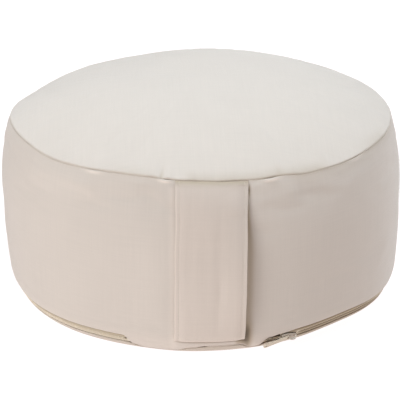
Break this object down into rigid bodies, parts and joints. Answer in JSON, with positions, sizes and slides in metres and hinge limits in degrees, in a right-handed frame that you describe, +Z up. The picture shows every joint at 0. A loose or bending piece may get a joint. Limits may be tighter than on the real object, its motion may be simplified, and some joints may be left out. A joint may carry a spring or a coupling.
{
  "type": "zafu meditation cushion",
  "caption": "Round filled floor cushion in plain cotton canvas, with a domed top, bulged side, carry strap and a zip round its lower edge.",
  "frame": {"origin": "middle of the flat foot, on the floor", "axes": "+Z up through the crown; the carry strap is at -Y, the front; +X to the right of someone facing the strap"},
  "size_m": [0.3297, 0.3404, 0.1753],
  "materials": {
    "side_cloth": "plain woven natural cotton canvas, matt",
    "top_cloth": "plain woven natural cotton canvas, matt",
    "base_cloth": "plain woven natural cotton canvas, matt",
    "strap_cloth": "doubled natural cotton canvas with pressed edges, matt",
    "strip_cloth": "plain woven natural cotton canvas, matt",
    "zip_tape": "fine woven beige tape",
    "zip_coil": "beige nylon coil",
    "slider_metal": "cast, pale nickel tint, slightly worn",
    "pull_enamel": "cream enamel on flat metal"
  },
  "bodies": {
    "root": {"filled_side_panel": "side_cloth", "top_panel": "top_cloth", "base_panel": "base_cloth", "carry_strap": "strap_cloth", "closing_strip": "strip_cloth", "zip_tape_upper": "zip_tape", "zip_tape_lower": "zip_tape", "zip_coil": "zip_coil", "zip_slider": "slider_metal", "zip_pull": "pull_enamel"}
  },
  "joints": []
}
